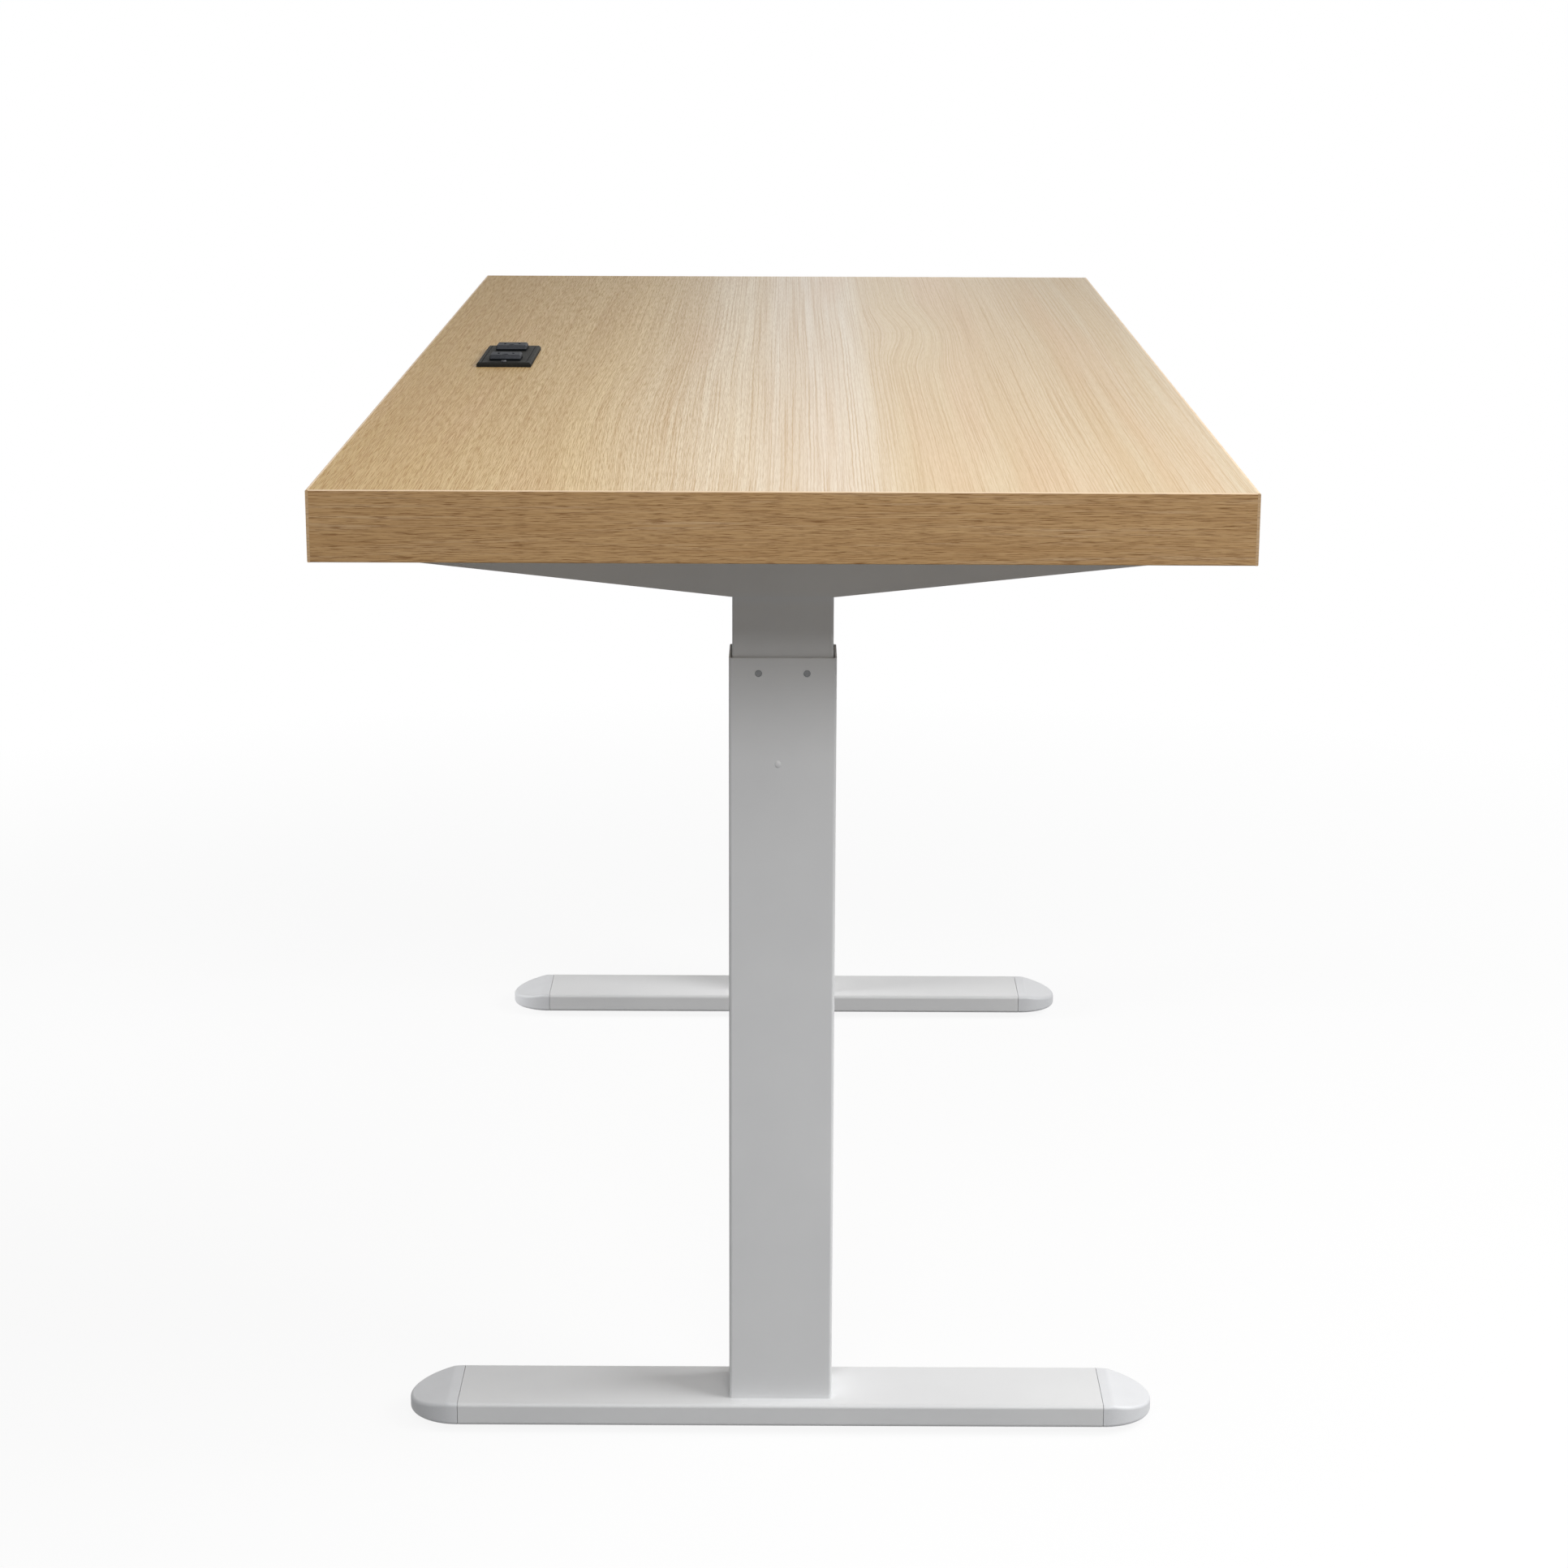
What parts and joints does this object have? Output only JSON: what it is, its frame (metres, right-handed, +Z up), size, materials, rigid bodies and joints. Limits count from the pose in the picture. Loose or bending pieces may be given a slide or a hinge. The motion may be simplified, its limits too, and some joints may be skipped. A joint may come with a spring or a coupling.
{
  "type": "height adjustable standing desk",
  "caption": "Electric sit-stand desk: thick oak-laminate top with a flush power module on telescopic T-shaped legs that rise together.",
  "frame": {"origin": "centre of the desk on the floor", "axes": "+X along the desktop to the user's right, +Y to the rear, +Z up"},
  "size_m": [1.4, 0.65, 0.7798],
  "materials": {
    "white_powder_coat": "fine satin powder coat",
    "white_plastic": "fine moulded texture",
    "oak_laminate": "light oak laminate, satin",
    "oak_edge": "light oak edge band, satin",
    "black_plastic": "fine grain",
    "socket_plastic": "satin",
    "grey_plastic": "smooth",
    "zinc_steel": "zinc plated",
    "black_steel": "black oxide",
    "brass": "turned",
    "wheel_nylon": "natural nylon",
    "cast_aluminium": "die-cast",
    "motor_paint": "black paint",
    "control_plastic": "fine grain",
    "dark_window": "gloss",
    "key_plastic": "soft satin"
  },
  "bodies": {
    "left_leg": {"left_foot_bar": "white_powder_coat", "left_front_foot_cap": "white_plastic", "left_rear_foot_cap": "white_plastic", "left_foot_bolts": "zinc_steel", "left_outer_tube": "white_powder_coat", "left_upper_glide": "grey_plastic", "left_push_tube": "zinc_steel", "left_drive_nut": "brass"},
    "upper_frame": {"control_box": "control_plastic", "control_box_lid": "zinc_steel", "desktop_board": "oak_laminate", "frame_screws": "zinc_steel", "front_edge_band": "oak_edge", "front_rail": "white_powder_coat", "handset_case": "black_plastic", "handset_window": "dark_window", "left_edge_band": "oak_edge", "left_gear_cover": "cast_aluminium", "left_gear_housing": "cast_aluminium", "left_inner_tube": "white_powder_coat", "left_lower_glide": "grey_plastic", "left_motor": "motor_paint", "left_power_socket": "socket_plastic", "left_side_bracket": "white_powder_coat", "power_box": "black_plastic", "power_plate": "black_plastic", "power_screws": "black_steel", "rear_edge_band": "oak_edge", "rear_rail": "white_powder_coat", "right_edge_band": "oak_edge", "right_gear_cover": "cast_aluminium", "right_gear_housing": "cast_aluminium", "right_inner_tube": "white_powder_coat", "right_lower_glide": "grey_plastic", "right_motor": "motor_paint", "right_power_socket": "socket_plastic", "right_side_bracket": "white_powder_coat"},
    "right_leg": {"right_foot_bar": "white_powder_coat", "right_front_foot_cap": "white_plastic", "right_rear_foot_cap": "white_plastic", "right_foot_bolts": "zinc_steel", "right_outer_tube": "white_powder_coat", "right_upper_glide": "grey_plastic", "right_push_tube": "zinc_steel", "right_drive_nut": "brass"},
    "left_spindle": {"left_spindle": "zinc_steel", "left_worm_wheel": "wheel_nylon"},
    "right_spindle": {"right_spindle": "zinc_steel", "right_worm_wheel": "wheel_nylon"},
    "left_worm": {"left_worm_shaft": "zinc_steel"},
    "right_worm": {"right_worm_shaft": "zinc_steel"},
    "left_front_leveller": {"left_front_leveller": "black_plastic"},
    "left_rear_leveller": {"left_rear_leveller": "black_plastic"},
    "right_front_leveller": {"right_front_leveller": "black_plastic"},
    "right_rear_leveller": {"right_rear_leveller": "black_plastic"},
    "up_button": {"up_button": "key_plastic"},
    "down_button": {"down_button": "key_plastic"},
    "memory_button_1": {"memory_button_1": "key_plastic"},
    "memory_button_2": {"memory_button_2": "key_plastic"},
    "memory_button_3": {"memory_button_3": "key_plastic"}
  },
  "joints": [
    {"name": "lift", "type": "slide", "parent": "left_leg", "child": "upper_frame", "axis": [0, 0, 1], "range_m": [-0.03, 0.42]},
    {"name": "right_lift", "type": "slide", "parent": "upper_frame", "child": "right_leg", "axis": [0, 0, -1], "range_m": [-0.03, 0.42]},
    {"name": "left_spindle_turn", "type": "hinge", "parent": "upper_frame", "child": "left_spindle", "pos_m": [-0.51, 0, 0.697], "axis": [0, 0, 1], "continuous": true},
    {"name": "left_worm_turn", "type": "hinge", "parent": "upper_frame", "child": "left_worm", "pos_m": [-0.51, 0.0242, 0.697], "axis": [1, 0, 0], "continuous": true},
    {"name": "left_front_level", "type": "slide", "parent": "left_leg", "child": "left_front_leveller", "axis": [0, 0, -1], "range_m": [0, 0.008]},
    {"name": "left_rear_level", "type": "slide", "parent": "left_leg", "child": "left_rear_leveller", "axis": [0, 0, -1], "range_m": [0, 0.008]},
    {"name": "right_spindle_turn", "type": "hinge", "parent": "upper_frame", "child": "right_spindle", "pos_m": [0.51, 0, 0.697], "axis": [0, 0, 1], "continuous": true},
    {"name": "right_worm_turn", "type": "hinge", "parent": "upper_frame", "child": "right_worm", "pos_m": [0.51, 0.0242, 0.697], "axis": [1, 0, 0], "continuous": true},
    {"name": "right_front_level", "type": "slide", "parent": "right_leg", "child": "right_front_leveller", "axis": [0, 0, -1], "range_m": [0, 0.008]},
    {"name": "right_rear_level", "type": "slide", "parent": "right_leg", "child": "right_rear_leveller", "axis": [0, 0, -1], "range_m": [0, 0.008]},
    {"name": "up_button_press", "type": "slide", "parent": "upper_frame", "child": "up_button", "axis": [0, 1, 0], "range_m": [0, 0.001], "stiffness_N_per_m": 400, "springref_m": -0.002},
    {"name": "down_button_press", "type": "slide", "parent": "upper_frame", "child": "down_button", "axis": [0, 1, 0], "range_m": [0, 0.001], "stiffness_N_per_m": 400, "springref_m": -0.002},
    {"name": "memory_button_1_press", "type": "slide", "parent": "upper_frame", "child": "memory_button_1", "axis": [0, 1, 0], "range_m": [0, 0.001], "stiffness_N_per_m": 400, "springref_m": -0.002},
    {"name": "memory_button_2_press", "type": "slide", "parent": "upper_frame", "child": "memory_button_2", "axis": [0, 1, 0], "range_m": [0, 0.001], "stiffness_N_per_m": 400, "springref_m": -0.002},
    {"name": "memory_button_3_press", "type": "slide", "parent": "upper_frame", "child": "memory_button_3", "axis": [0, 1, 0], "range_m": [0, 0.001], "stiffness_N_per_m": 400, "springref_m": -0.002}
  ],
  "couplings": [
    {"joint": "right_lift", "follows": "lift", "ratio": 1},
    {"joint": "left_spindle_turn", "follows": "lift", "rad_per_m": 628.32},
    {"joint": "left_worm_turn", "follows": "lift", "rad_per_m": 7539.8},
    {"joint": "right_spindle_turn", "follows": "lift", "rad_per_m": 628.32},
    {"joint": "right_worm_turn", "follows": "lift", "rad_per_m": 7539.8}
  ]
}
